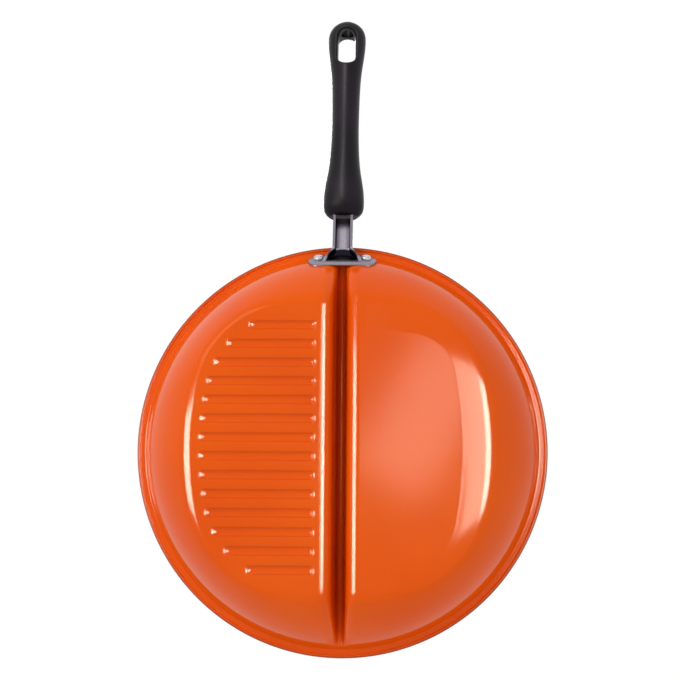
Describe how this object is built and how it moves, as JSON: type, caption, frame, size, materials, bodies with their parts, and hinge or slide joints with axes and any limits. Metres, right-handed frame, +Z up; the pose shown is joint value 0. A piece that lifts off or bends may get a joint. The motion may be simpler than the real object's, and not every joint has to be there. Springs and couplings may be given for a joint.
{
  "type": "frying pan",
  "caption": "Round frying pan with a raised divider, a ridged grill half and a plain half, a riveted bracket and a rising moulded handle with a hanging hole",
  "frame": {"origin": "centre of the pan's base, on the surface that it stands on", "axes": "+Z up, the handle runs along -Y and rises away from the pan, and the ridged half is on -X"},
  "size_m": [0.2794, 0.4532, 0.0996],
  "materials": {
    "pan": "gloss enamel outside, dark non-stick coating inside",
    "bracket": "satin",
    "rivets": "satin",
    "grip": "moulded, lightly worn gloss",
    "washer": "dark",
    "screw": "bright"
  },
  "bodies": {
    "root": {"pan_body": "pan", "handle_bracket": "bracket", "pan_rivets": "rivets", "handle_grip": "grip", "spring_washer": "washer", "handle_screw": "screw"}
  },
  "joints": []
}
